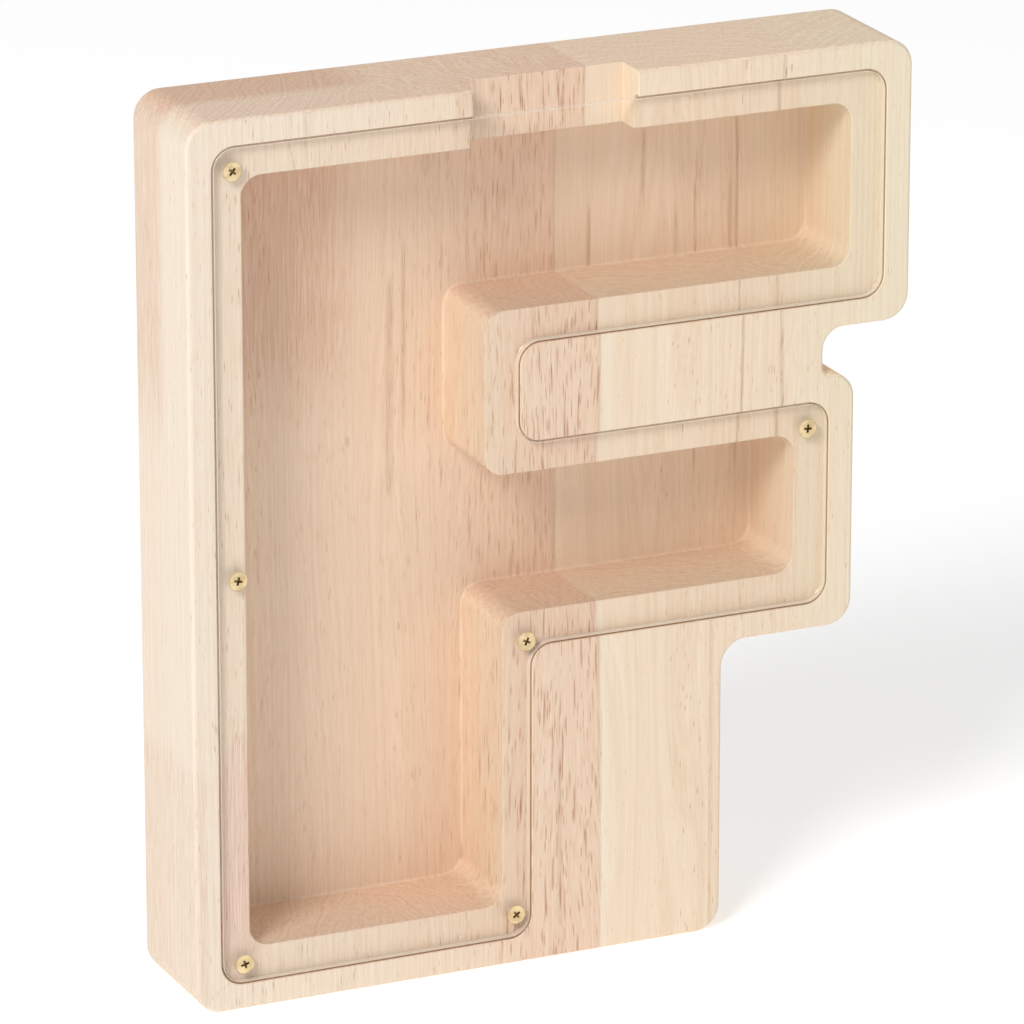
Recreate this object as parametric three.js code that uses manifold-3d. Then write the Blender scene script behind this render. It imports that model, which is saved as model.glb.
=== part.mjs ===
// Money box in the shape of a block letter F.
// Four straight-grained hardwood staves are glued edge to edge and routed out from the front; a clear
// acrylic panel lies in a rebate over the hollow, held by six small countersunk brass wood screws.
// Coins drop through a slot in the top edge, behind the panel.
//
// Millimetres, +Z up. The front faces -Y. The origin is under the middle of the box, on the surface
// that it stands on. Inside this file a place is given by x from the left edge, y from the front face
// and z from the base; one group at the end moves that corner to the origin.

import * as THREE from "three";
import { mergeVertices } from "three/addons/utils/BufferGeometryUtils.js";
import Module from "manifold-3d";

const wasm = await Module();
wasm.setup();

// ---------------------------------------------------------------- driving dimensions

// The block, seen from the front.
const WIDTH = 170;
const HEIGHT = 200;
const DEPTH = 30;
const TOP_ARM_HEIGHT = 63.5;
const ARM_GAP = 10.5;
const ARM_GAP_DEPTH = 7.7;
const MID_ARM_HEIGHT = 58.4;
const MID_ARM_SETBACK = 13;
const FOOT_SETBACK = 44.7;
const OUTER_RADIUS = 6;
const GAP_TOP_RADIUS = 5;
const GAP_BOTTOM_RADIUS = 1.8;
const GAP_LIP_RADIUS = 5.8;

// The glued-up board: three staves of one width and a narrower one at the right.
const LAST_STAVE_WIDTH = 26;
const FULL_STAVES = 3;

// The rebate that holds the panel, and the hollow behind it.
const FRAME_BORDER = 6;
const FRAME_BORDER_RIGHT = 6.4;
const REBATE_STEM_WIDTH = 73.2;
const TONGUE_START = 76.4;
const REBATE_RADIUS = 5;
const REBATE_DEPTH = 2;
const LEDGE = 7.3;
const STEM_LEDGE = 6;
const HOLLOW_RADIUS = 4.5;
const BACK_WALL = 6;

// The coin slot.
const SLOT_LENGTH = 38.6;
const SLOT_DEPTH = 8.4;

// The panel lies on the ledge, with a small gap to the rebate all round.
const PANEL_THICKNESS = REBATE_DEPTH;
const PANEL_GAP = 0.4;

// Countersunk wood screws.
const HEAD_DIAMETER = 4.2;
const HEAD_RIM = 0.2;
const SHANK_DIAMETER = 2.2;
const SCREW_LENGTH = 12;
const POINT_LENGTH = 2.8;
const RECESS_LENGTH = 2.6;
const RECESS_WIDTH = 0.65;
const RECESS_DEPTH = 0.8;
const SCREW_CLEARANCE = 0.3;
const INNER_CORNER_WALL = 1;

// Each screw: how far right and up it was set by hand from its true place, and the turn of its cross
// recess in degrees.
const SCREWS = {
  screw_top_left: { drift: [0.3, -1.1], turn: 38 },
  screw_mid_left: { drift: [0.5, -1.9], turn: 12 },
  screw_foot_left: { drift: [1, 0.1], turn: 74 },
  screw_foot_right: { drift: [0.1, 1.1], turn: 52 },
  screw_inner_corner: { drift: [0, 0], turn: 24 },
  screw_mid_arm: { drift: [-0.7, -1.5], turn: 5 },
};

// Facets: half the number of chords in a rounded corner, and the sides of a turned piece.
const CORNER_STEPS = 4;
const TURNED_SIDES = 24;

// How far a cutter runs past the face that it opens, how far a drill does, and the least straight
// stretch between two rounded corners.
const OVERCUT = 5;
const DRILL_OVERCUT = 1;
const LEAST_STRAIGHT = 0.1;

// ---------------------------------------------------------------- places worked out from them

const topArmUnderside = HEIGHT - TOP_ARM_HEIGHT;
const midArmTop = topArmUnderside - ARM_GAP;
const midArmUnderside = midArmTop - MID_ARM_HEIGHT;
const midArmEnd = WIDTH - MID_ARM_SETBACK;
const gapEnd = midArmEnd - ARM_GAP_DEPTH;
const footEnd = WIDTH - FOOT_SETBACK;
const gapLipRadius = Math.min(GAP_LIP_RADIUS, ARM_GAP_DEPTH - GAP_BOTTOM_RADIUS - LEAST_STRAIGHT);
const staveWidth = (WIDTH - LAST_STAVE_WIDTH) / FULL_STAVES;
const hollowDepth = DEPTH - BACK_WALL;
const headRadius = HEAD_DIAMETER / 2;
const shankRadius = SHANK_DIAMETER / 2;
const headDepth = HEAD_RIM + headRadius - shankRadius;

// Edges of the F that the rebate line follows; the panel and the hollow are set off from them.
const rebate = {
  left: FRAME_BORDER,
  bottom: FRAME_BORDER,
  top: HEIGHT - FRAME_BORDER,
  armEnd: WIDTH - FRAME_BORDER_RIGHT,
  armBottom: topArmUnderside + FRAME_BORDER,
  tongueStart: TONGUE_START,
  midTop: midArmTop - FRAME_BORDER,
  midEnd: midArmEnd - FRAME_BORDER_RIGHT,
  midBottom: midArmUnderside + FRAME_BORDER,
  stemRight: FRAME_BORDER + REBATE_STEM_WIDTH,
};

// ---------------------------------------------------------------- outlines

// A closed outline through square corners, each [x, z, radius], taken anticlockwise.
function roundedOutline(corners) {
  const shape = new THREE.Shape();
  corners.forEach(([x, z, radius], i) => {
    const corner = new THREE.Vector2(x, z);
    const [beforeX, beforeZ] = corners.at(i - 1);
    const [afterX, afterZ] = corners[(i + 1) % corners.length];
    const back = new THREE.Vector2(beforeX, beforeZ).sub(corner).normalize();
    const ahead = new THREE.Vector2(afterX, afterZ).sub(corner).normalize();
    const centre = corner.clone().addScaledVector(back, radius).addScaledVector(ahead, radius);
    const turnsRight = back.cross(ahead) > 0;
    const from = ahead.clone().negate().angle();
    const to = back.clone().negate().angle();
    shape.absarc(centre.x, centre.y, radius, from, to, turnsRight);
  });
  shape.closePath();
  return shape;
}

// The outside of the letter.
function blockOutline() {
  return roundedOutline([
    [0, 0, OUTER_RADIUS],
    [footEnd, 0, OUTER_RADIUS],
    [footEnd, midArmUnderside, OUTER_RADIUS],
    [midArmEnd, midArmUnderside, OUTER_RADIUS],
    [midArmEnd, midArmTop, gapLipRadius],
    [gapEnd, midArmTop, GAP_BOTTOM_RADIUS],
    [gapEnd, topArmUnderside, GAP_TOP_RADIUS],
    [WIDTH, topArmUnderside, OUTER_RADIUS],
    [WIDTH, HEIGHT, OUTER_RADIUS],
    [0, HEIGHT, OUTER_RADIUS],
  ]);
}

// The rebate line drawn in by a distance; a negative distance draws it out.
function rebateOutline(inset) {
  const outer = REBATE_RADIUS - inset;
  const inner = REBATE_RADIUS + inset;
  return roundedOutline([
    [rebate.left + inset, rebate.bottom + inset, outer],
    [rebate.stemRight - inset, rebate.bottom + inset, outer],
    [rebate.stemRight - inset, rebate.midBottom + inset, inner],
    [rebate.midEnd - inset, rebate.midBottom + inset, outer],
    [rebate.midEnd - inset, rebate.midTop - inset, outer],
    [rebate.tongueStart - inset, rebate.midTop - inset, inner],
    [rebate.tongueStart - inset, rebate.armBottom + inset, inner],
    [rebate.armEnd - inset, rebate.armBottom + inset, outer],
    [rebate.armEnd - inset, rebate.top - inset, outer],
    [rebate.left + inset, rebate.top - inset, outer],
  ]);
}

// The hollow: the rebate line less the ledge, with the cutter's own radius in every corner.
function hollowOutline() {
  const stemRight = rebate.stemRight - STEM_LEDGE;
  const tongueStart = rebate.tongueStart - LEDGE;
  const r = HOLLOW_RADIUS;
  return roundedOutline([
    [rebate.left + LEDGE, rebate.bottom + LEDGE, r],
    [stemRight, rebate.bottom + LEDGE, r],
    [stemRight, rebate.midBottom + LEDGE, r],
    [rebate.midEnd - LEDGE, rebate.midBottom + LEDGE, r],
    [rebate.midEnd - LEDGE, rebate.midTop - LEDGE, r],
    [tongueStart, rebate.midTop - LEDGE, r],
    [tongueStart, rebate.armBottom + LEDGE, r],
    [rebate.armEnd - LEDGE, rebate.armBottom + LEDGE, r],
    [rebate.armEnd - LEDGE, rebate.top - LEDGE, r],
    [rebate.left + LEDGE, rebate.top - LEDGE, r],
  ]);
}

// ---------------------------------------------------------------- solids

// An upright slab with that outline, from one distance behind the front face to another.
function slab(outline, front, back) {
  return new THREE.ExtrudeGeometry(outline, {
    depth: back - front,
    bevelEnabled: false,
    curveSegments: CORNER_STEPS,
  })
    .rotateX(Math.PI / 2)
    .translate(0, back, 0);
}

function box(low, high) {
  const size = high.map((value, i) => value - low[i]);
  const middle = high.map((value, i) => (value + low[i]) / 2);
  return new THREE.BoxGeometry(...size).translate(...middle);
}

// A piece turned about the Y axis; the profile is [radius, y] pairs from the front to the back.
function turned(profile) {
  const points = profile.map(([radius, y]) => new THREE.Vector2(radius, y));
  return new THREE.LatheGeometry(points, TURNED_SIDES);
}

function toSolid(geometry) {
  const bare = geometry.clone();
  bare.deleteAttribute("normal");
  bare.deleteAttribute("uv");
  const merged = mergeVertices(bare, 1e-4);
  return new wasm.Manifold(
    new wasm.Mesh({
      numProp: 3,
      vertProperties: merged.attributes.position.array,
      triVerts: new Uint32Array(merged.index.array),
    }),
  );
}

function toGeometry(solid) {
  const mesh = solid.getMesh();
  const geometry = new THREE.BufferGeometry();
  geometry.setAttribute("position", new THREE.BufferAttribute(mesh.vertProperties, mesh.numProp));
  geometry.setIndex(new THREE.BufferAttribute(mesh.triVerts, 1));
  geometry.computeVertexNormals();
  return geometry;
}

function cut(solid, ...geometries) {
  return geometries.reduce((left, geometry) => left.subtract(toSolid(geometry)), solid);
}

function at(geometry, [x, z]) {
  return geometry.clone().translate(x, 0, z);
}

// ---------------------------------------------------------------- screws

// How far inside the rebate line a screw sits on a ledge of that width: midway between where its
// head's hole would meet the panel's edge and where its shank's hole would meet the hollow.
function seatOnLedge(width) {
  const closest = PANEL_GAP / 2 + headRadius + SCREW_CLEARANCE;
  const furthest = width - shankRadius - SCREW_CLEARANCE;
  return (closest + furthest) / 2;
}

// The middle [x, z] of each screw, drift included. The one in the inner corner of the letter keeps a
// wall of its own between its hole and the rounded edge of the panel.
function screwPlaces() {
  const seat = seatOnLedge(LEDGE);
  const left = rebate.left + seat;
  const foot = rebate.bottom + seat;
  const top = rebate.top - seat;
  const reach = PANEL_GAP / 2 + headRadius + SCREW_CLEARANCE + INNER_CORNER_WALL;
  const aslant = REBATE_RADIUS - (REBATE_RADIUS + reach) * Math.SQRT1_2;
  const truePlaces = {
    screw_top_left: [left, top],
    screw_mid_left: [left, (top + foot) / 2],
    screw_foot_left: [left, foot],
    screw_foot_right: [rebate.stemRight - seatOnLedge(STEM_LEDGE), foot],
    screw_inner_corner: [rebate.stemRight + aslant, rebate.midBottom - aslant],
    screw_mid_arm: [rebate.midEnd - seat, rebate.midTop - seat],
  };
  return Object.entries(truePlaces).map(([name, [x, z]]) => {
    const [right, up] = SCREWS[name].drift;
    return { name, place: [x + right, z + up] };
  });
}

// A countersunk head on a plain shank with a conical point, and a cross recess in the head.
function screwGeometry() {
  const blank = turned([
    [0, 0],
    [headRadius, 0],
    [headRadius, HEAD_RIM],
    [shankRadius, headDepth],
    [shankRadius, SCREW_LENGTH - POINT_LENGTH],
    [0, SCREW_LENGTH],
  ]);
  const long = RECESS_LENGTH / 2;
  const narrow = RECESS_WIDTH / 2;
  return toGeometry(
    cut(
      toSolid(blank),
      box([-long, -DRILL_OVERCUT, -narrow], [long, RECESS_DEPTH, narrow]),
      box([-narrow, -DRILL_OVERCUT, -long], [narrow, RECESS_DEPTH, long]),
    ),
  );
}

// The hole for one screw in the panel: the screw's own shape plus the clearance.
function panelHole() {
  const wide = headRadius + SCREW_CLEARANCE;
  const through = shankRadius + SCREW_CLEARANCE;
  const end = Math.max(PANEL_THICKNESS, headDepth) + DRILL_OVERCUT;
  return turned([
    [0, -DRILL_OVERCUT],
    [wide, -DRILL_OVERCUT],
    [wide, HEAD_RIM],
    [through, headDepth],
    [through, end],
    [0, end],
  ]);
}

// The hole for one screw in the wood.
function pilotHole() {
  const radius = shankRadius + SCREW_CLEARANCE;
  const start = REBATE_DEPTH - DRILL_OVERCUT;
  const end = SCREW_LENGTH + SCREW_CLEARANCE;
  return turned([
    [0, start],
    [radius, start],
    [radius, end],
    [0, end],
  ]);
}

// ---------------------------------------------------------------- the wooden case

// The whole routed block, before it is parted at the glue lines.
function routedBlock() {
  const slotLeft = (WIDTH - SLOT_LENGTH) / 2;
  const slotBottom = rebate.top - LEDGE - HOLLOW_RADIUS;
  const coinSlot = box(
    [slotLeft, -OVERCUT, slotBottom],
    [slotLeft + SLOT_LENGTH, SLOT_DEPTH, HEIGHT + OVERCUT],
  );
  const holes = screwPlaces().map(({ place }) => at(pilotHole(), place));
  return cut(
    toSolid(slab(blockOutline(), 0, DEPTH)),
    slab(rebateOutline(-PANEL_GAP / 2), -OVERCUT, REBATE_DEPTH),
    slab(hollowOutline(), -OVERCUT, hollowDepth),
    coinSlot,
    ...holes,
  );
}

// The stave between two glue lines.
function stave(block, left, right) {
  const slice = box([left, -OVERCUT, -OVERCUT], [right, DEPTH + OVERCUT, HEIGHT + OVERCUT]);
  return toGeometry(block.intersect(toSolid(slice)));
}

// ---------------------------------------------------------------- the panel

function panelGeometry() {
  const holes = screwPlaces().map(({ place }) => at(panelHole(), place));
  const sheet = slab(rebateOutline(PANEL_GAP / 2), REBATE_DEPTH - PANEL_THICKNESS, REBATE_DEPTH);
  return toGeometry(cut(toSolid(sheet), ...holes));
}

// ---------------------------------------------------------------- materials and assembly

const wood = new THREE.MeshStandardMaterial({ color: 0xd8ae7c, roughness: 0.6, metalness: 0 });
const acrylic = new THREE.MeshStandardMaterial({
  color: 0xf4f8f8,
  roughness: 0.05,
  metalness: 0,
  transparent: true,
  opacity: 0.2,
});
const brass = new THREE.MeshStandardMaterial({ color: 0xd2b04e, roughness: 0.35, metalness: 1 });

function named(name, geometry, material) {
  const mesh = new THREE.Mesh(geometry, material);
  mesh.name = name;
  return mesh;
}

const moneyBox = new THREE.Group();
moneyBox.position.set(-WIDTH / 2, -DEPTH / 2, 0);

const block = routedBlock();
for (let i = 0; i <= FULL_STAVES; i += 1) {
  const left = i * staveWidth;
  const right = i < FULL_STAVES ? left + staveWidth : WIDTH + OVERCUT;
  const reach = i > 0 ? left : -OVERCUT;
  moneyBox.add(named(`stave_${i + 1}`, stave(block, reach, right), wood.clone()));
}

moneyBox.add(named("panel", panelGeometry(), acrylic));

const oneScrew = screwGeometry();
for (const { name, place } of screwPlaces()) {
  const [x, z] = place;
  const screw = named(name, oneScrew, brass);
  screw.position.set(x, 0, z);
  screw.rotation.y = THREE.MathUtils.degToRad(SCREWS[name].turn);
  moneyBox.add(screw);
}

const part = new THREE.Group();
part.add(moneyBox);

export default part;
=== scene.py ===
from math import cos, pi, radians, sin

import bmesh
import bpy
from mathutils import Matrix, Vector


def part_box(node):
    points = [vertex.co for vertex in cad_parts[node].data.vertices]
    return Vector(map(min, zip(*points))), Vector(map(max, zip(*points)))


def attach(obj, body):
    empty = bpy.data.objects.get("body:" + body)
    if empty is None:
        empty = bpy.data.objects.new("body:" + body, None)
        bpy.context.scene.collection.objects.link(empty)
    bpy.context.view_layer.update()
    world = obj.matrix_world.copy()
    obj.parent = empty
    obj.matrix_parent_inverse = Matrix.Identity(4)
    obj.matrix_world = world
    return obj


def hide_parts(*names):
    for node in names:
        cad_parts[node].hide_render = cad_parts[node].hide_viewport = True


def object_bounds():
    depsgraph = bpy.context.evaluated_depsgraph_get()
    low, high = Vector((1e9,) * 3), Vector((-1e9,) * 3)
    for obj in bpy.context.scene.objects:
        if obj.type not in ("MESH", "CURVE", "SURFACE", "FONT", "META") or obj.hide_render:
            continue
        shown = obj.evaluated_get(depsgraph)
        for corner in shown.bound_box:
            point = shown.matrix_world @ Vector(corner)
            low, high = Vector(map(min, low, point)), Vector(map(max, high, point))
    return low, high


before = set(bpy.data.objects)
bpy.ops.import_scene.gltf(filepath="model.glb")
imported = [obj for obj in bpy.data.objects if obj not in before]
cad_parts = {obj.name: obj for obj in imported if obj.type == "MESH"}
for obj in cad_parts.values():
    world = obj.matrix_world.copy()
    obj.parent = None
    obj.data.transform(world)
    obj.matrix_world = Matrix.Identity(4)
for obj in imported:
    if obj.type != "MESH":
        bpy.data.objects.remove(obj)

cad_low, cad_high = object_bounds()


# ---------------------------------------------------------------- the case
# The case is one board, 30 mm thick, glued up edge to edge from four staves of pale hardwood with
# upright grain. It is cut out as a block letter F, its outer edges are rounded over, and the rebate,
# the hollow and the coin slot are routed out from the front.

mm = 0.001
left, front, base = cad_low
width, depth, height = cad_high - cad_low

outer_radius = 6 * mm
gap_top_radius = 5 * mm
gap_lip_radius = 5.8 * mm
gap_bottom_radius = 1.8 * mm
gap_height = 10.5 * mm
gap_depth = 7.7 * mm
mid_arm_height = 58.4 * mm
mid_arm_setback = 13 * mm
foot_setback = 44.7 * mm
roundover = 0.9 * mm

frame_border = 6 * mm
frame_border_right = 6.4 * mm
panel_gap = 0.4 * mm
rebate_radius = 5 * mm
rebate_depth = 2 * mm
rebate_stem_width = 73.2 * mm
tongue_start = 76.4 * mm
ledge = 7.3 * mm
stem_ledge = 6 * mm
hollow_radius = 4.5 * mm
back_wall = 6 * mm
slot_length = 38.6 * mm
slot_depth = 8.4 * mm
eased_edge = 0.25 * mm
bit_corner = 0.6 * mm
overcut = 3 * mm

stave_names = ["stave_1", "stave_2", "stave_3", "stave_4"]
glue_lines = [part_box(name)[0].x for name in stave_names[1:]]
stave_width = glue_lines[0] - left

arm_underside = height - 63.5 * mm
mid_top = arm_underside - gap_height
mid_underside = mid_top - mid_arm_height
mid_end = width - mid_arm_setback
gap_end = mid_end - gap_depth
foot_end = width - foot_setback

# Corners are (x from the left edge, height above the base, radius), taken anticlockwise.
letter_corners = [
    (0, 0, outer_radius),
    (foot_end, 0, outer_radius),
    (foot_end, mid_underside, outer_radius),
    (mid_end, mid_underside, outer_radius),
    (mid_end, mid_top, gap_lip_radius),
    (gap_end, mid_top, gap_bottom_radius),
    (gap_end, arm_underside, gap_top_radius),
    (width, arm_underside, outer_radius),
    (width, height, outer_radius),
    (0, height, outer_radius),
]


def inside_the_border(stem_inset, inset, radius):
    """Corners of the line that runs inside the letter's border, set in from it by these amounts."""
    stem_right = frame_border + rebate_stem_width - stem_inset
    tongue = tongue_start - inset
    floor = frame_border + inset
    arm_end = width - frame_border_right - inset
    arm_floor = arm_underside + frame_border + inset
    short_end = mid_end - frame_border_right - inset
    short_floor = mid_underside + frame_border + inset
    short_top = mid_top - frame_border - inset
    top = height - frame_border - inset
    return [
        (floor, floor, radius),
        (stem_right, floor, radius),
        (stem_right, short_floor, radius),
        (short_end, short_floor, radius),
        (short_end, short_top, radius),
        (tongue, short_top, radius),
        (tongue, arm_floor, radius),
        (arm_end, arm_floor, radius),
        (arm_end, top, radius),
        (floor, top, radius),
    ]


rebate_corners = inside_the_border(0, 0, rebate_radius)
hollow_corners = inside_the_border(stem_ledge, ledge, hollow_radius)


def outline(corners, inset=0.0, steps=10):
    """Points (x, z) along an outline, set in by a distance. Each rounded corner keeps its centre."""
    points = []
    for i, (x, z, radius) in enumerate(corners):
        corner = Vector((x, z))
        arriving = (corner - Vector(corners[i - 1][:2])).normalized()
        leaving = (Vector(corners[(i + 1) % len(corners)][:2]) - corner).normalized()
        turn = 1 if arriving.cross(leaving) > 0 else -1
        centre = corner + radius * (leaving - arriving)
        reach = radius - turn * inset
        for step in range(steps + 1):
            angle = pi / 2 * step / steps
            points.append(centre - leaving * reach * cos(angle) + arriving * reach * sin(angle))
    return points


def loft(name, rings):
    """A closed solid through rings with the same number of points."""
    mesh = bmesh.new()
    loops = [[mesh.verts.new(point) for point in ring] for ring in rings]
    count = len(rings[0])
    for near, far in zip(loops, loops[1:]):
        for i in range(count):
            j = (i + 1) % count
            mesh.faces.new((near[i], near[j], far[j], far[i]))
    mesh.faces.new(loops[0])
    mesh.faces.new(loops[-1])
    bmesh.ops.remove_doubles(mesh, verts=mesh.verts, dist=0.1 * eased_edge)
    bmesh.ops.recalc_face_normals(mesh, faces=mesh.faces)
    data = bpy.data.meshes.new(name)
    mesh.to_mesh(data)
    mesh.free()
    piece = bpy.data.objects.new(name, data)
    bpy.context.scene.collection.objects.link(piece)
    return piece


def upright_slab(name, corners, profile):
    """A slab with that outline. The profile is (distance behind the front face, inset) pairs."""
    return loft(
        name,
        [
            [Vector((left + x, front + back, base + z)) for x, z in outline(corners, inset)]
            for back, inset in profile
        ],
    )


def block(name, low, high):
    """A box, for a cutter or for the space between two glue lines."""
    around = [(low[0], low[1]), (high[0], low[1]), (high[0], high[1]), (low[0], high[1])]
    return loft(name, [[Vector((x, y, z)) for x, y in around] for z in (low[2], high[2])])


def bored(name, profile, place, steps=32):
    """A turned solid about a line that runs from front to back, by (distance back, radius) pairs."""
    x, z = place
    angles = [2 * pi * step / steps for step in range(steps)]
    return loft(
        name,
        [
            [Vector((x + radius * cos(a), front + back, z + radius * sin(a))) for a in angles]
            for back, radius in profile
        ],
    )


def apply_modifiers(piece):
    """Puts the result of a piece's modifiers into its mesh."""
    bpy.context.view_layer.update()
    finished = piece.evaluated_get(bpy.context.evaluated_depsgraph_get())
    data = bpy.data.meshes.new_from_object(finished)
    piece.modifiers.clear()
    piece.data = data


def cut(piece, tools, operation="DIFFERENCE"):
    """Cuts a piece with the tools, which are used up."""
    for tool in tools:
        modifier = piece.modifiers.new("cut", "BOOLEAN")
        modifier.operation = operation
        modifier.solver = "EXACT"
        modifier.material_mode = "TRANSFER"
        modifier.object = tool
    apply_modifiers(piece)
    for tool in tools:
        bpy.data.objects.remove(tool)


def smooth_faces(piece, angle):
    """Shades rounded stretches smooth and keeps flat faces flat."""
    piece.data.polygons.foreach_set("use_smooth", [True] * len(piece.data.polygons))
    piece.data.set_sharp_from_angle(angle=radians(angle))
    modifier = piece.modifiers.new("flat faces lead", "WEIGHTED_NORMAL")
    modifier.keep_sharp = True
    apply_modifiers(piece)


class Wire:
    """One socket of a node tree. Arithmetic on it adds Math nodes, and add() makes any other node."""

    def __init__(self, tree, socket=None):
        self.tree = tree
        self.socket = socket

    def add(self, kind, settings=None, inputs=None, out=0):
        node = self.tree.nodes.new(kind)
        for name, value in (settings or {}).items():
            if name == "stops":
                fill_ramp(node.color_ramp, value)
            else:
                setattr(node, name, value)
        for name, value in (inputs or {}).items():
            if isinstance(value, Wire):
                self.tree.links.new(value.socket, node.inputs[name])
            else:
                node.inputs[name].default_value = value
        return Wire(self.tree, node.outputs[out] if node.outputs else None)

    def math(self, operation, *values):
        inputs = dict(enumerate((self, *values)))
        return self.add("ShaderNodeMath", {"operation": operation}, inputs)

    def vector(self, operation, other):
        settings = {"operation": operation}
        return self.add("ShaderNodeVectorMath", settings, {0: self, 1: other})

    def __add__(self, other):
        return self.math("ADD", other)

    __radd__ = __add__

    def __mul__(self, other):
        return self.math("MULTIPLY", other)

    __rmul__ = __mul__

    def __sub__(self, other):
        return self.math("SUBTRACT", other)

    def __rsub__(self, other):
        return (self * -1.0) + other

    def __truediv__(self, other):
        return self.math("DIVIDE", other)

    def __pow__(self, other):
        return self.math("POWER", other)

    def rise(self, low, high):
        """0 below the lower value and 1 above the upper one, with a smooth step between them."""
        settings = {"interpolation_type": "SMOOTHSTEP"}
        return self.add("ShaderNodeMapRange", settings, {0: self, 1: low, 2: high})

    def blend(self, colour, other):
        """The first colour where this is 0 and the other one where it is 1."""
        inputs = {0: self, 6: colour, 7: other}
        return self.add("ShaderNodeMix", {"data_type": "RGBA"}, inputs, out=2)

    def tint(self, colour, filtered):
        """A colour, seen through a filter of another colour where this is 1."""
        settings = {"data_type": "RGBA", "blend_type": "MULTIPLY"}
        return self.add("ShaderNodeMix", settings, {0: self, 6: colour, 7: filtered}, out=2)


def fill_ramp(ramp, stops):
    """Sets a ramp's (place, colour) stops."""
    while len(ramp.elements) < len(stops):
        ramp.elements.new(1.0)
    for element, (place, colour) in zip(ramp.elements, stops):
        element.position = place
        element.color = (*colour, 1.0)


def new_material(name):
    """An empty node material and a wire to start its nodes from."""
    material = bpy.data.materials.new(name)
    material.use_nodes = True
    material.node_tree.nodes.clear()
    return material, Wire(material.node_tree)


# Across the board from its left edge, in millimetres: the wood's own colour. It jumps at a glue line.
board_tones = [
    (0, (0.826, 0.735, 0.621)),
    (30, (0.822, 0.719, 0.599)),
    (47.9, (0.817, 0.705, 0.579)),
    (48.1, (0.822, 0.700, 0.569)),
    (70, (0.813, 0.675, 0.538)),
    (80, (0.804, 0.639, 0.506)),
    (95.2, (0.801, 0.627, 0.493)),
    (96.0, (0.845, 0.749, 0.609)),
    (98.5, (0.834, 0.707, 0.556)),
    (125, (0.826, 0.694, 0.544)),
    (143.9, (0.822, 0.697, 0.548)),
    (144.1, (0.820, 0.719, 0.561)),
    (170, (0.816, 0.732, 0.571)),
]
# And how thick the pores stand there, as shares.
pore_bands = [
    (0, 0.30), (6, 0.40), (13, 0.55), (36, 0.50), (48, 0.35), (60, 0.50), (72, 0.70), (79, 0.95),
    (95, 1.0), (96.5, 0.10), (111, 0.12), (114, 0.40), (128, 0.35), (130, 0.65), (133, 0.25),
    (139.5, 0.60), (142, 0.3), (150, 0.25), (170, 0.2),
]
# Darker streaks: place across, lower end, upper end, half width, strength, all in millimetres but the
# last. The first lot runs through the whole board and the second lies deep in it.
through_streaks = [
    (95.5, -20, 220, 0.55, 0.45),
    (122.4, -20, 74, 0.9, 0.40),
    (129.6, 100, 166, 0.6, 0.80),
    (139.4, 100, 220, 0.6, 0.75),
    (86.0, 2, 48, 0.8, 0.45),
    (27.5, 190, 220, 1.2, 0.35),
    (66.5, 176, 220, 6.0, 0.4),
]
deep_streaks = [
    (56.5, 104, 152, 1.3, 0.65),
    (59.6, 120, 160, 0.7, 0.70),
    (46.5, 116.6, 118.4, 0.7, 1.2),
    (103.5, 148, 163, 0.8, 0.75),
    (116.8, 164, 180, 0.9, 0.75),
    (124.5, 146, 160, 0.9, 0.65),
    (137.8, 150, 166, 0.8, 0.75),
]
# Deep in the board the wood nears this colour.
deep_tone = (0.817, 0.686, 0.547, 1)
# Filters over the wood's own colour, for what grows in it and then for what the tools leave, with painted
# light on the hollow's side walls and painted shade deep in the hollow and in the gap beside the panel.
growth_filter = (0.86, 0.75, 0.64, 1)
pore_filter = (0.60, 0.41, 0.33, 1)
streak_filter = (0.62, 0.52, 0.43, 1)
reddish_filter = (0.86, 0.73, 0.67, 1)
blush_filter = (0.92, 0.74, 0.78, 1)
end_grain_filter = (1.19, 1.13, 1.09, 1)
end_grain_red = (0.83, 0.73, 0.67, 1)
routed_warmth_and_shade_filter = (1.02, 0.94, 0.905, 1)
side_wall_painted_light = (1.09, 1.13, 1.12, 1)
arm_floor_filter = (0.92, 0.93, 0.92, 1)
rebate_gap_shade_filter = (0.47, 0.35, 0.25, 1)
# Features per millimetre across, into and up the board.
wander_scale = (1 / 50, 1 / 50, 1 / 600)
fibre_scale = (1.1, 1.1, 0.012)
fleck_scale = (2.6, 2.6, 0.10)
patch_scale = (0.16, 0.16, 0.022)
comb_scale = (0.75, 0.75, 0.045)
blotch_scale = (0.30, 0.13, 0.05)
# Widths and lengths in millimetres.
wander_reach = 9.0
ring_width = 4.2
fine_ring_width = 0.8
pith_distance = 70.0
middle_depth = 15.0
fine_pore_size = (0.62, 6.5)
long_pore_size = (0.95, 19.0)
# Where single marks lie, in millimetres: (start, end) of one soft edge, or (low, high, softness).
deep_wood = (12.0, 18.0)
heart_across = (2.0, 50.0, 7.0)
heart_up = (136.0, 260.0, 14.0)
foot_top = (56.5, 60.5)
foot_across = (1.5, 4.0)
blush_across = (5.0, 16.0, 1.5)
blush_up = (2.0, 50.0, 8.0)
blush_depth = (4.0, 8.0)
arm_floors = (64.0, 74.0)
# The next two place a band of painted shade on the rebate's wall, in the gap beside the panel.
rebate_gap_shade_depth = (0.35, 1.15, 0.2)
rebate_gap_shade_end = (194.3, 194.6)


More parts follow.
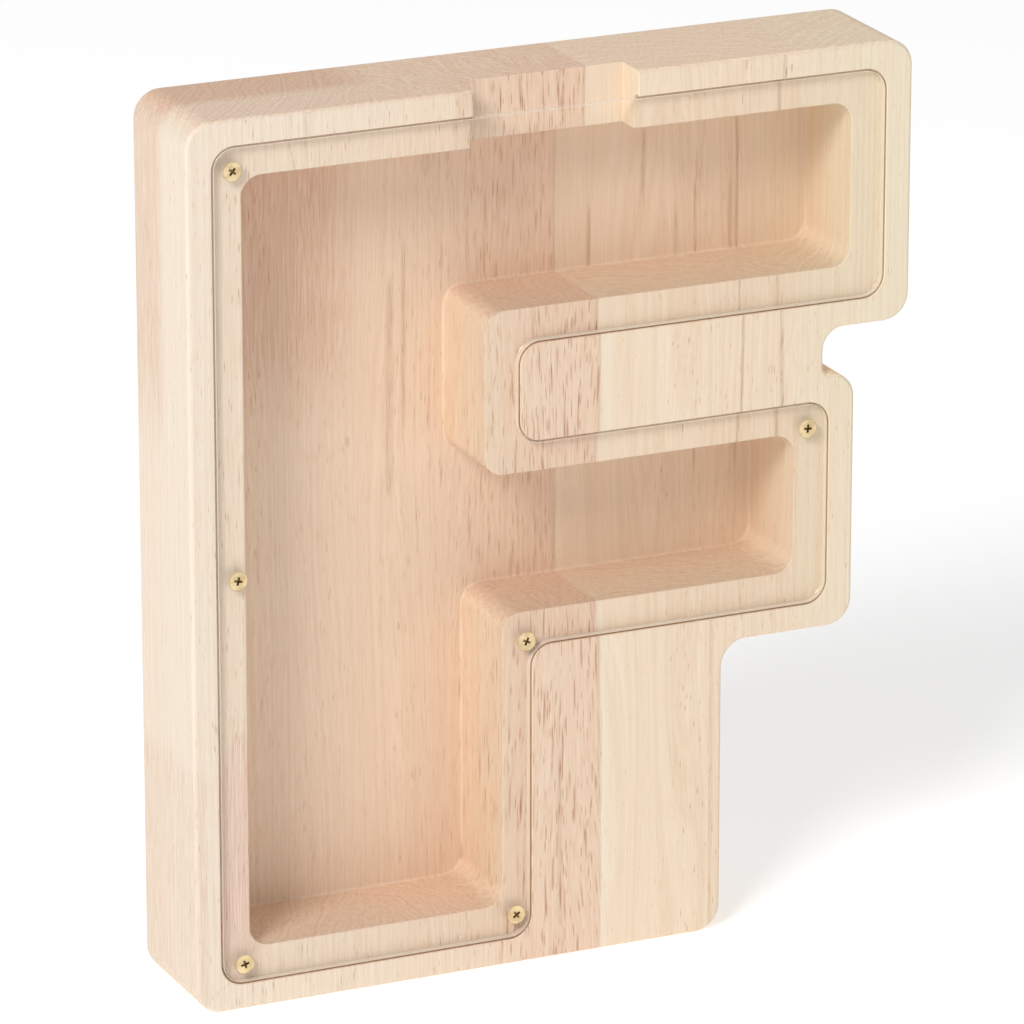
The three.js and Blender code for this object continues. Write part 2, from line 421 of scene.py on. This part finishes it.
def hardwood(name, routed):
    """Upright-grained hardwood, solid through the board: a cut face shows what lies inside."""
    material, start = new_material(name)
    place = start.add("ShaderNodeTexCoord", out="Object")
    to_board = {0: place, 1: (1 / mm,) * 3, 2: tuple(-v / mm for v in cad_low)}
    board = start.add("ShaderNodeVectorMath", {"operation": "MULTIPLY_ADD"}, to_board)
    across = board.add("ShaderNodeSeparateXYZ", inputs={0: board}, out=0)
    deep = board.add("ShaderNodeSeparateXYZ", inputs={0: board}, out=1)
    up = board.add("ShaderNodeSeparateXYZ", inputs={0: board}, out=2)

    # Each stave is a piece of its own tree: the grain jumps at a glue line.
    stave = (across / (stave_width / mm)).math("FLOOR")
    jump = start.add("ShaderNodeCombineXYZ", inputs={0: stave * 37.0, 1: stave * 91.0, 2: stave * 310.0})
    own = board.vector("ADD", jump)
    slow = own.vector("MULTIPLY", wander_scale)
    wander = start.add("ShaderNodeTexNoise", inputs={"Vector": slow, "Detail": 0.5}, out="Color")
    grain = own.vector("ADD", wander.vector("MULTIPLY", (wander_reach, wander_reach, 0.0)))

    # Growth rings about a pith that lies outside the stave, on a bearing of the stave's own.
    bearing = stave * 0.9 - 0.585
    middle = (stave + 0.5) * (stave_width / mm)
    drift = wander.add("ShaderNodeSeparateColor", inputs={0: wander}, out=0) * wander_reach
    side = across - middle + drift + bearing.math("COSINE") * pith_distance
    back = deep - middle_depth + drift * 0.6 + bearing.math("SINE") * pith_distance
    radius = (side * side + back * back).math("SQRT")
    wide = {"W": radius / ring_width + stave * 9.0, "Detail": 2.0, "Roughness": 0.6}
    rings = start.add("ShaderNodeTexNoise", {"noise_dimensions": "1D"}, wide).rise(0.34, 0.68)
    narrow = {"W": radius / fine_ring_width + stave * 5.0, "Detail": 2.0}
    lines = start.add("ShaderNodeTexNoise", {"noise_dimensions": "1D"}, narrow).rise(0.35, 0.75)

    # Fibres, and the open pores that show as short streaks along the grain and as dots across it.
    long_fibres = grain.vector("MULTIPLY", fibre_scale)
    fibres = start.add("ShaderNodeTexNoise", inputs={"Vector": long_fibres, "Detail": 4.0}).rise(0.38, 0.68)
    short_fibres = grain.vector("MULTIPLY", fleck_scale)
    flecks = start.add("ShaderNodeTexNoise", inputs={"Vector": short_fibres, "Detail": 2.0}).rise(0.45, 0.75)
    patches = grain.vector("MULTIPLY", patch_scale)
    patchy = start.add("ShaderNodeTexNoise", inputs={"Vector": patches, "Detail": 2.5})

    def over_the_width(stops):
        """A colour that changes across the board, from (millimetres, colour) stops."""
        settings = {"stops": [(at / (width / mm), colour) for at, colour in stops]}
        return across.add("ShaderNodeValToRGB", settings, {0: across / (width / mm)})

    def pores(cell, length, shift):
        """1 in each pore, which lies somewhere in a cell of its own and is wider where they crowd."""
        cells = grain.vector("MULTIPLY", (1 / cell, 1 / cell, 1 / length)).vector("ADD", (shift,) * 3)
        distance = start.add("ShaderNodeTexVoronoi", inputs={"Vector": cells, "Scale": 1.0})
        reach = 0.08 + crowd * 0.34
        return 1.0 - (distance / reach).rise(0.35, 1.0)

    def band(value, low, high, soft):
        """1 between two values, easing off over a soft edge."""
        return value.rise(low - soft, low + soft) * (1.0 - value.rise(high - soft, high + soft))

    def streaked(streaks):
        """The strengths of all these streaks, added up."""
        total = across * 0.0
        for at, low, high, half, strength in streaks:
            line = 1.0 - (across + drift * 0.25 - (at + 1.1)).math("ABSOLUTE").rise(half * 0.2, half)
            total = total + line * band(up, low, high, 3.0 if high - low > 4 else 0.8) * strength
        return total

    behind = deep.rise(*deep_wood)
    crowd = over_the_width([(at, (share,) * 3) for at, share in pore_bands])
    crowd = crowd * patchy.rise(0.25, 0.60)
    fine_pores = pores(*fine_pore_size, 0.0)
    long_pores = pores(*long_pore_size, 7.3) * crowd.rise(0.25, 0.75)

    # The first stave's own marks: a reddish length deep inside, a darker foot on the outer side, and
    # a pink blush low on the ledge.
    heart = band(across + patchy * 8.0, *heart_across) * band(up + patchy * 8.0, *heart_up)
    heart = heart * behind
    foot = (1.0 - (up + fibres * 5.0).rise(*foot_top)) * (1.0 - across.rise(*foot_across))
    blush = band(across, *blush_across) * band(up - fibres * 16.0, *blush_up)
    blush = blush * (1.0 - deep.rise(*blush_depth))

    # End grain faces up and down.
    normal = start.add("ShaderNodeNewGeometry", out="Normal")
    facing = normal.add("ShaderNodeSeparateXYZ", inputs={0: normal}, out=2)
    end_grain = facing.math("ABSOLUTE").rise(0.35, 0.95)
    upright = 1.0 - end_grain
    blotches = own.vector("MULTIPLY", blotch_scale)
    blotchy = start.add("ShaderNodeTexNoise", inputs={"Vector": blotches, "Detail": 3.0}).rise(0.35, 0.65)

    colour = (behind * 0.30).blend(over_the_width(board_tones), deep_tone)
    combed = grain.vector("MULTIPLY", comb_scale)
    bands = start.add("ShaderNodeTexNoise", inputs={"Vector": combed, "Detail": 3.0}).rise(0.42, 0.62)
    figure = rings * 0.26 + lines * 0.14 + fibres * 0.28 + flecks * 0.14 + bands * crowd * 0.45
    colour = (figure * upright).tint(colour, growth_filter)
    colour = (heart * (0.50 + fibres * 0.7)).tint(colour, reddish_filter)
    colour = (foot * (0.10 + fibres * 0.45)).tint(colour, reddish_filter)
    streaks = streaked(through_streaks) + streaked(deep_streaks) * behind
    colour = (streaks * (0.35 + fibres * 0.65) * upright).tint(colour, streak_filter)
    colour = (fine_pores * (0.60 - end_grain * 0.42) * (1.0 - behind * 0.35)).tint(colour, pore_filter)
    colour = (long_pores * (0.66 - end_grain * 0.46) * (1.0 - behind * 0.4)).tint(colour, pore_filter)
    colour = (end_grain * (0.3 if routed else 1.0)).tint(colour, end_grain_filter)
    redder = (1.0 - across.rise(20.0, 135.0)) * 0.34 + rings * 0.40 + blotchy * 0.40
    colour = (end_grain * redder).tint(colour, end_grain_red)
    if routed:
        # The cutter leaves the wood warmer than the sanded faces, and deeper in the hollow it is painted
        # warmer and darker still, as shade and warm bounced light.
        colour = (0.30 + deep.rise(4.0, 24.0) * 0.70).tint(colour, routed_warmth_and_shade_filter)
        # Painted light: walls that face left or right are painted lighter, as light falling into the hollow
        # on them.
        sideways = normal.add("ShaderNodeSeparateXYZ", inputs={0: normal}, out=0).math("ABSOLUTE")
        colour = sideways.rise(0.35, 0.95).tint(colour, side_wall_painted_light)
        colour = (end_grain * across.rise(*arm_floors)).tint(colour, arm_floor_filter)
        colour = (blush * (0.15 + fibres)).tint(colour, blush_filter)
        # Painted shade: a dark band on the rebate's wall, where it stands in the gap beside the panel, kept
        # off the coin slot's walls above.
        rebate_gap_shade = band(deep, *rebate_gap_shade_depth) * (1.0 - up.rise(*rebate_gap_shade_end))
        colour = (rebate_gap_shade * 0.95).tint(colour, rebate_gap_shade_filter)

    sunk = (fine_pores + long_pores) * -1.0 + fibres * 0.35
    grain_relief = {"Height": sunk, "Distance": 0.06 * mm, "Strength": 0.5}
    relief = start.add("ShaderNodeBump", inputs=grain_relief)
    roughness = 0.56 + fine_pores * 0.15 + end_grain * 0.12 + fibres * 0.08
    surface = start.add(
        "ShaderNodeBsdfPrincipled",
        inputs={"Base Color": colour, "Roughness": roughness, "Normal": relief},
    )
    start.add("ShaderNodeOutputMaterial", inputs={"Surface": surface})
    return material


def quarter_round(radius, steps=5):
    """(distance in from a face, inset) pairs along a rounded-over edge."""
    angles = [pi / 2 * step / steps for step in range(steps + 1)]
    return [(radius * (1 - cos(a)), radius * (1 - sin(a))) for a in angles]


case_wood = hardwood("sanded hardwood", routed=False)
routed_wood = hardwood("routed hardwood", routed=True)

front_edge = quarter_round(roundover)
back_edge = [(depth - back, inset) for back, inset in reversed(front_edge)]
case = upright_slab("case", letter_corners, front_edge + back_edge)
case.data.materials.append(case_wood)

slot_left = left + (width - slot_length) / 2
slot_right = slot_left + slot_length
slot_bottom = base + height - frame_border - ledge - hollow_radius
slot_back = front + slot_depth
screw_names = sorted(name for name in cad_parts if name.startswith("screw"))
screw_places = {name: (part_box(name)[0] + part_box(name)[1]) / 2 for name in screw_names}
pilot_radius = 1.17 * mm
pilot_end = 12.4 * mm

wall = -panel_gap / 2
easing = quarter_round(eased_edge, 3)
rebate_profile = [(-overcut, wall - eased_edge)]
rebate_profile += [(back, wall - inset) for back, inset in easing] + [(rebate_depth, wall)]
hollow_profile = [(-overcut, -eased_edge)]
hollow_profile += [(rebate_depth + back, -inset) for back, inset in easing]
hollow_profile += [
    (depth - back_wall - back, inset) for back, inset in reversed(quarter_round(bit_corner, 4))
]


def slot_section(flare, z):
    """The coin slot's outline at one height. Its front corners are eased."""
    low_x, high_x = slot_left - flare, slot_right + flare
    back = slot_back + flare
    around = [(low_x - eased_edge, front - overcut), (high_x + eased_edge, front - overcut)]
    around += [(high_x + eased_edge, front), (high_x, front + eased_edge), (high_x, back)]
    around += [(low_x, back), (low_x, front + eased_edge), (low_x - eased_edge, front)]
    return [Vector((x, y, z)) for x, y in around]


top = base + height
slot_rings = [slot_section(0, slot_bottom)]
slot_rings += [slot_section(inset, top - back) for back, inset in reversed(easing)]
slot_rings += [slot_section(eased_edge, top + overcut)]
cutters = [
    upright_slab("rebate cutter", rebate_corners, rebate_profile),
    upright_slab("hollow cutter", hollow_corners, hollow_profile),
    loft("slot cutter", slot_rings),
]
pilot = [(rebate_depth - overcut / 3, pilot_radius), (pilot_end, pilot_radius)]
cutters += [bored("pilot drill", pilot, (at.x, at.z), 24) for at in screw_places.values()]
for cutter in cutters:
    cutter.data.materials.append(routed_wood)
cut(case, cutters)

ends = [left - overcut, *glue_lines, left + width + overcut]
for name, start_x, end_x in zip(stave_names, ends, ends[1:]):
    stave = bpy.data.objects.new(name + "_wood", case.data.copy())
    bpy.context.scene.collection.objects.link(stave)
    low = (start_x, front - overcut, base - overcut)
    high = (end_x, front + depth + overcut, base + height + overcut)
    cut(stave, [block("stave space", low, high)], "INTERSECT")
    smooth_faces(stave, 35)
    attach(stave, "case")
    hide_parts(name)
bpy.data.objects.remove(case)


# ---------------------------------------------------------------- the clear panel
# The panel is cut from 2 mm clear acrylic sheet. Its edges are saw-cut and polished, its corners
# follow the rebate, and six holes are countersunk so that the screw heads lie flush.

panel_low, panel_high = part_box("panel")
panel_thickness = panel_high.y - panel_low.y
head_radius = 2.1 * mm
head_rim = 0.2 * mm
shank_radius = 1.1 * mm
hole_clearance = 0.12 * mm
arris = 0.15 * mm
seat_gap = 0.04 * mm
# Painted shade and light for the cut edges: brown where they stand in the gap, seen from outside, and a pale
# glow where they are seen from within the sheet.
gap_shade_brown = (0.36, 0.26, 0.17, 1)
edge_glow_pale = (0.90, 0.82, 0.70, 1)
clear_tint = (0.998, 0.998, 0.996, 1)
open_edge_start = slot_length / 2 - mm
open_edge_below_top = 8 * mm


def clear_acrylic(name):
    """Clear sheet, nearly invisible face on. Cut edges get painted shade, brown, in the gap and a painted
    pale glow from within.
    """
    material, start = new_material(name)
    normal = start.add("ShaderNodeNewGeometry", out="True Normal")
    facing = normal.add("ShaderNodeSeparateXYZ", inputs={0: normal}, out=1).math("ABSOLUTE")
    edge = 1.0 - facing.rise(0.2, 0.6)
    # Painted highlight: where face meets edge, the arris shows as a pale, partly opaque line.
    corner = facing.rise(0.5, 0.6) * (1.0 - facing.rise(0.8, 0.9))
    place = start.add("ShaderNodeTexCoord", out="Object")
    stretched = place.vector("MULTIPLY", (900.0, 150.0, 150.0))
    wipe_marks = start.add("ShaderNodeTexNoise", inputs={"Vector": stretched, "Detail": 3.0})
    slant = start.add("ShaderNodeLayerWeight", inputs={"Blend": 0.5}, out="Facing")
    gloss = slant**5.0 * 0.9 + 0.015

    # Across the coin slot the sheet's upper edge is open to the light and gets no painted shade. Elsewhere
    # it sits in the gap.
    off_middle = place.add("ShaderNodeSeparateXYZ", inputs={0: place}, out=0).math("ABSOLUTE")
    raised = place.add("ShaderNodeSeparateXYZ", inputs={0: place}, out=2)
    open_low = top - open_edge_below_top - mm
    open_edge = 1.0 - off_middle.rise(open_edge_start, open_edge_start + mm)
    open_edge = open_edge * raised.rise(open_low, open_low + mm)
    inside = start.add("ShaderNodeNewGeometry", out="Backfacing")
    painted_gap_shade = edge * (1.0 - inside) * (1.0 - open_edge)
    shown = edge * (0.15 + inside * 0.45 + painted_gap_shade * 0.12)
    seen = (gloss + shown).math("MAXIMUM", corner * 0.40)
    colour = painted_gap_shade.blend(edge_glow_pale, gap_shade_brown)
    roughness = 0.03 + wipe_marks * 0.05 + painted_gap_shade * 0.5
    sheet = start.add(
        "ShaderNodeBsdfPrincipled", inputs={"Base Color": colour, "Roughness": roughness, "IOR": 1.49}
    )
    through = start.add("ShaderNodeBsdfTransparent", inputs={"Color": clear_tint})
    surface = start.add("ShaderNodeMixShader", inputs={0: seen, 1: through, 2: sheet})
    start.add("ShaderNodeOutputMaterial", inputs={"Surface": surface})
    return material


panel_back = panel_thickness - seat_gap
side = panel_gap / 2
panel_profile = [(0, side + arris), (arris, side), (panel_back - arris, side), (panel_back, side + arris)]
panel = upright_slab("panel_sheet", rebate_corners, panel_profile)
countersink = [
    (-overcut, head_radius + hole_clearance),
    (head_rim, head_radius + hole_clearance),
    (head_rim + head_radius - shank_radius, shank_radius + hole_clearance),
    (panel_thickness + overcut, shank_radius + hole_clearance),
]
cut(panel, [bored("countersink", countersink, (at.x, at.z), 40) for at in screw_places.values()])
smooth_faces(panel, 24)
panel.data.materials.clear()
panel.data.materials.append(clear_acrylic("clear acrylic"))
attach(panel, "panel")
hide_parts("panel")


# ---------------------------------------------------------------- the screws
# Six countersunk wood screws of yellow brass, 4.2 mm across the head and 12 mm long, with a cross
# recess. They pass through the panel into the ledge, each left at the turn where it pulled tight.

screw_length = 12 * mm
point_length = 2.8 * mm
thread_start = 4.2 * mm
thread_pitch = 1.15 * mm
thread_depth = 0.32 * mm
recess_length = 2.6 * mm
recess_width = 0.62 * mm
recess_depth = 0.85 * mm
recess_end_taper = 0.55
recess_side_taper = 0.25
sunk_from = 0.2 * mm
sunk_to = 0.8 * mm
bright_brass = (0.82, 0.66, 0.39, 1)
dull_brass = (0.62, 0.47, 0.255, 1)
painted_recess_shade = (0.20, 0.145, 0.055, 1)
# How far each one is turned, in degrees.
screw_turns = {
    "screw_top_left": 38,
    "screw_mid_left": 12,
    "screw_foot_left": 74,
    "screw_foot_right": 52,
    "screw_inner_corner": 24,
    "screw_mid_arm": 5,
}


def yellow_brass(name):
    """Bright rolled brass, duller down in the recess and on the flanks of the thread, where painted shade
    turns it brown.
    """
    material, start = new_material(name)
    place = start.add("ShaderNodeTexCoord", out="Object")
    fine = start.add("ShaderNodeTexNoise", inputs={"Vector": place, "Scale": 1400.0, "Detail": 3.0})
    cloudy = start.add("ShaderNodeTexNoise", inputs={"Vector": place, "Scale": 420.0, "Detail": 2.0})
    behind = place.add("ShaderNodeSeparateXYZ", inputs={0: place}, out=1) - front
    sunk = behind.rise(sunk_from, sunk_to)
    colour = cloudy.rise(0.35, 0.7).blend(bright_brass, dull_brass)
    # Painted shade: behind the head's face the brass turns brown, down in the recess and beyond.
    colour = (sunk * 0.8).blend(colour, painted_recess_shade)
    relief = start.add("ShaderNodeBump", inputs={"Height": fine, "Distance": 0.02 * mm, "Strength": 0.5})
    surface = start.add(
        "ShaderNodeBsdfPrincipled",
        inputs={
            "Base Color": colour,
            "Metallic": 1.0,
            "Roughness": 0.24 + fine * 0.14 + sunk * 0.2,
            "Normal": relief,
        },
    )
    start.add("ShaderNodeOutputMaterial", inputs={"Surface": surface})
    return material


def screw_tree(sizes):
    """A node tree that turns one screw: a grid wrapped round the axis, with its thread and recess."""
    tree = bpy.data.node_groups.new("wood screw", "GeometryNodeTree")
    socket = tree.interface.new_socket
    socket("Geometry", in_out="INPUT", socket_type="NodeSocketGeometry")
    for name, value in sizes.items():
        socket(name, in_out="INPUT", socket_type="NodeSocketFloat").default_value = value
    socket("Place", in_out="INPUT", socket_type="NodeSocketVector")
    socket("Turn", in_out="INPUT", socket_type="NodeSocketFloat")
    socket("Brass", in_out="INPUT", socket_type="NodeSocketMaterial")
    socket("Geometry", in_out="OUTPUT", socket_type="NodeSocketGeometry")

    group_in = tree.nodes.new("NodeGroupInput")
    given = {plug.name: Wire(tree, plug) for plug in group_in.outputs if plug.name}
    start = Wire(tree)
    head, rim, shank = given["Head Radius"], given["Head Rim"], given["Shank Radius"]
    length, point = given["Length"], given["Point Length"]

    around, along = 32, 230
    weld = 0.01 * mm
    grid = start.add(
        "GeometryNodeMeshGrid",
        inputs={"Size X": 1.0, "Size Y": 1.0, "Vertices X": around + 1, "Vertices Y": along},
    )
    spot = start.add("GeometryNodeInputPosition")
    share = spot.add("ShaderNodeSeparateXYZ", inputs={0: spot}, out=0) + 0.5
    down = spot.add("ShaderNodeSeparateXYZ", inputs={0: spot}, out=1) + 0.5
    angle = share * (2 * pi)

    # One step out along the face is one step of travel, and so is one step down the shank.
    travel = down * (head + length)
    back = (travel - head).math("MAXIMUM", 0.0)
    cone = (back - rim).math("MAXIMUM", 0.0).math("MINIMUM", head - shank)
    taper = ((back - (length - point)) / point).math("MAXIMUM", 0.0)
    wave = (back / given["Thread Pitch"] - share).math("PINGPONG", 0.5) * 2.0
    threaded = (back - given["Thread Start"]) / given["Thread Pitch"]
    threaded = threaded.math("MAXIMUM", 0.0).math("MINIMUM", 1.0)
    valley = (1.0 - wave * wave) * threaded * given["Thread Depth"]
    radius = travel.math("MINIMUM", head) - cone - valley
    radius = radius * (1.0 - taper).math("MAXIMUM", 0.0)
    wrapped = start.add(
        "ShaderNodeCombineXYZ",
        inputs={0: radius * angle.math("COSINE"), 1: back, 2: radius * angle.math("SINE")},
    )
    turned = start.add("GeometryNodeSetPosition", inputs={"Geometry": grid, "Position": wrapped})
    blank = start.add("GeometryNodeMergeByDistance", inputs={"Geometry": turned, "Distance": weld})

    # The cross recess is two crossed wedges, narrower at the bottom.
    wedge = start.add("GeometryNodeMeshCube")
    corner = start.add("GeometryNodeInputPosition")
    depth_share = corner.add("ShaderNodeSeparateXYZ", inputs={0: corner}, out=1) + 0.5
    pinch = 1.0 - depth_share * recess_end_taper
    scale = start.add(
        "ShaderNodeCombineXYZ",
        inputs={
            0: given["Recess Length"] * pinch,
            1: given["Recess Depth"] * 2.0,
            2: given["Recess Width"] * (1.0 - depth_share * recess_side_taper),
        },
    )
    shaped = start.add(
        "GeometryNodeSetPosition",
        inputs={"Geometry": wedge, "Position": corner.vector("MULTIPLY", scale)},
    )
    crossed = start.add(
        "GeometryNodeTransform", inputs={"Geometry": shaped, "Rotation": (0.0, pi / 2, 0.0)}
    )
    cross = start.add("GeometryNodeJoinGeometry", inputs={"Geometry": shaped})
    tree.links.new(crossed.socket, cross.socket.node.inputs[0])
    driven = start.add(
        "GeometryNodeMeshBoolean", {"operation": "DIFFERENCE", "solver": "EXACT"}, {0: blank, 1: cross}
    )
    driven.socket.node.inputs["Self Intersection"].default_value = True
    turn = start.add("ShaderNodeCombineXYZ", inputs={1: given["Turn"]})
    placed = start.add(
        "GeometryNodeTransform",
        inputs={"Geometry": driven, "Translation": given["Place"], "Rotation": turn},
    )
    real = start.add("GeometryNodeRealizeInstances", inputs={"Geometry": placed})
    made = start.add("GeometryNodeSetMaterial", inputs={"Geometry": real, "Material": given["Brass"]})
    start.add("NodeGroupOutput", inputs={"Geometry": made})
    return tree


wood_screw = screw_tree(
    {
        "Head Radius": head_radius,
        "Head Rim": head_rim,
        "Shank Radius": shank_radius,
        "Length": screw_length,
        "Point Length": point_length,
        "Thread Start": thread_start,
        "Thread Pitch": thread_pitch,
        "Thread Depth": thread_depth,
        "Recess Length": recess_length,
        "Recess Width": recess_width,
        "Recess Depth": recess_depth,
    }
)
brass = yellow_brass("yellow brass")
for name in screw_names:
    screw = bpy.data.objects.new(name + "_turned", bpy.data.meshes.new(name + "_turned"))
    bpy.context.scene.collection.objects.link(screw)
    modifier = screw.modifiers.new("wood screw", "NODES")
    modifier.node_group = wood_screw
    settings = {
        "Place": (screw_places[name].x, front, screw_places[name].z),
        "Turn": radians(screw_turns[name]),
        "Brass": brass,
    }
    for item in wood_screw.interface.items_tree:
        if item.name in settings:
            modifier[item.identifier] = settings[item.name]
    apply_modifiers(screw)
    smooth_faces(screw, 32)
    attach(screw, name)
    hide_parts(name)


# ---------------------------------------------------------------- the camera, floor and light
# A long lens looks at the box from its left and from above. The floor is flat, plain and pale, and
# the light is a bright room with one large soft lamp high on the left.

aim = Vector((-9.73, -13.46, 104.29)) * mm
camera_distance = 1.63014
camera_azimuth = radians(-24.290)
camera_elevation = radians(18.635)
lens_length = 265.5
sensor_width = 36.0
floor_size = 12.0
floor_thickness = 10 * mm
floor_glow = 0.37
room_light = 0.475
lamp_place = Vector((-1.56, -1.26, 1.6))
lamp_size = 0.8
lamp_power = 35.0

towards_camera = Vector(
    (
        sin(camera_azimuth) * cos(camera_elevation),
        -cos(camera_azimuth) * cos(camera_elevation),
        sin(camera_elevation),
    )
)
camera = bpy.data.objects.new("camera", bpy.data.cameras.new("camera"))
camera.data.lens = lens_length
camera.data.sensor_width = sensor_width
camera.location = aim + towards_camera * camera_distance
camera.rotation_euler = towards_camera.to_track_quat("Z", "Y").to_euler()
bpy.context.scene.collection.objects.link(camera)
bpy.context.scene.camera = camera
bpy.context.scene.view_settings.view_transform = "Standard"

floor_low = (-floor_size, -floor_size, base - floor_thickness)
floor = block("floor", floor_low, (floor_size, floor_size, base))
floor_paint, paint = new_material("pale floor")
surface = paint.add(
    "ShaderNodeBsdfPrincipled",
    inputs={
        "Base Color": (0.95, 0.95, 0.95, 1),
        "Roughness": 0.8,
        "Emission Color": (1, 1, 1, 1),
        "Emission Strength": floor_glow,
    },
)
paint.add("ShaderNodeOutputMaterial", inputs={"Surface": surface})
floor.data.materials.append(floor_paint)

world = bpy.data.worlds.new("bright room")
world.use_nodes = True
background = world.node_tree.nodes["Background"]
background.inputs["Color"].default_value = (1.0, 1.0, 1.0, 1)
background.inputs["Strength"].default_value = room_light
bpy.context.scene.world = world

lamp = bpy.data.objects.new("key lamp", bpy.data.lights.new("key lamp", "AREA"))
lamp.data.size = lamp_size
lamp.data.energy = lamp_power
lamp.location = lamp_place
lamp.rotation_euler = (lamp_place - aim).to_track_quat("Z", "Y").to_euler()
bpy.context.scene.collection.objects.link(lamp)
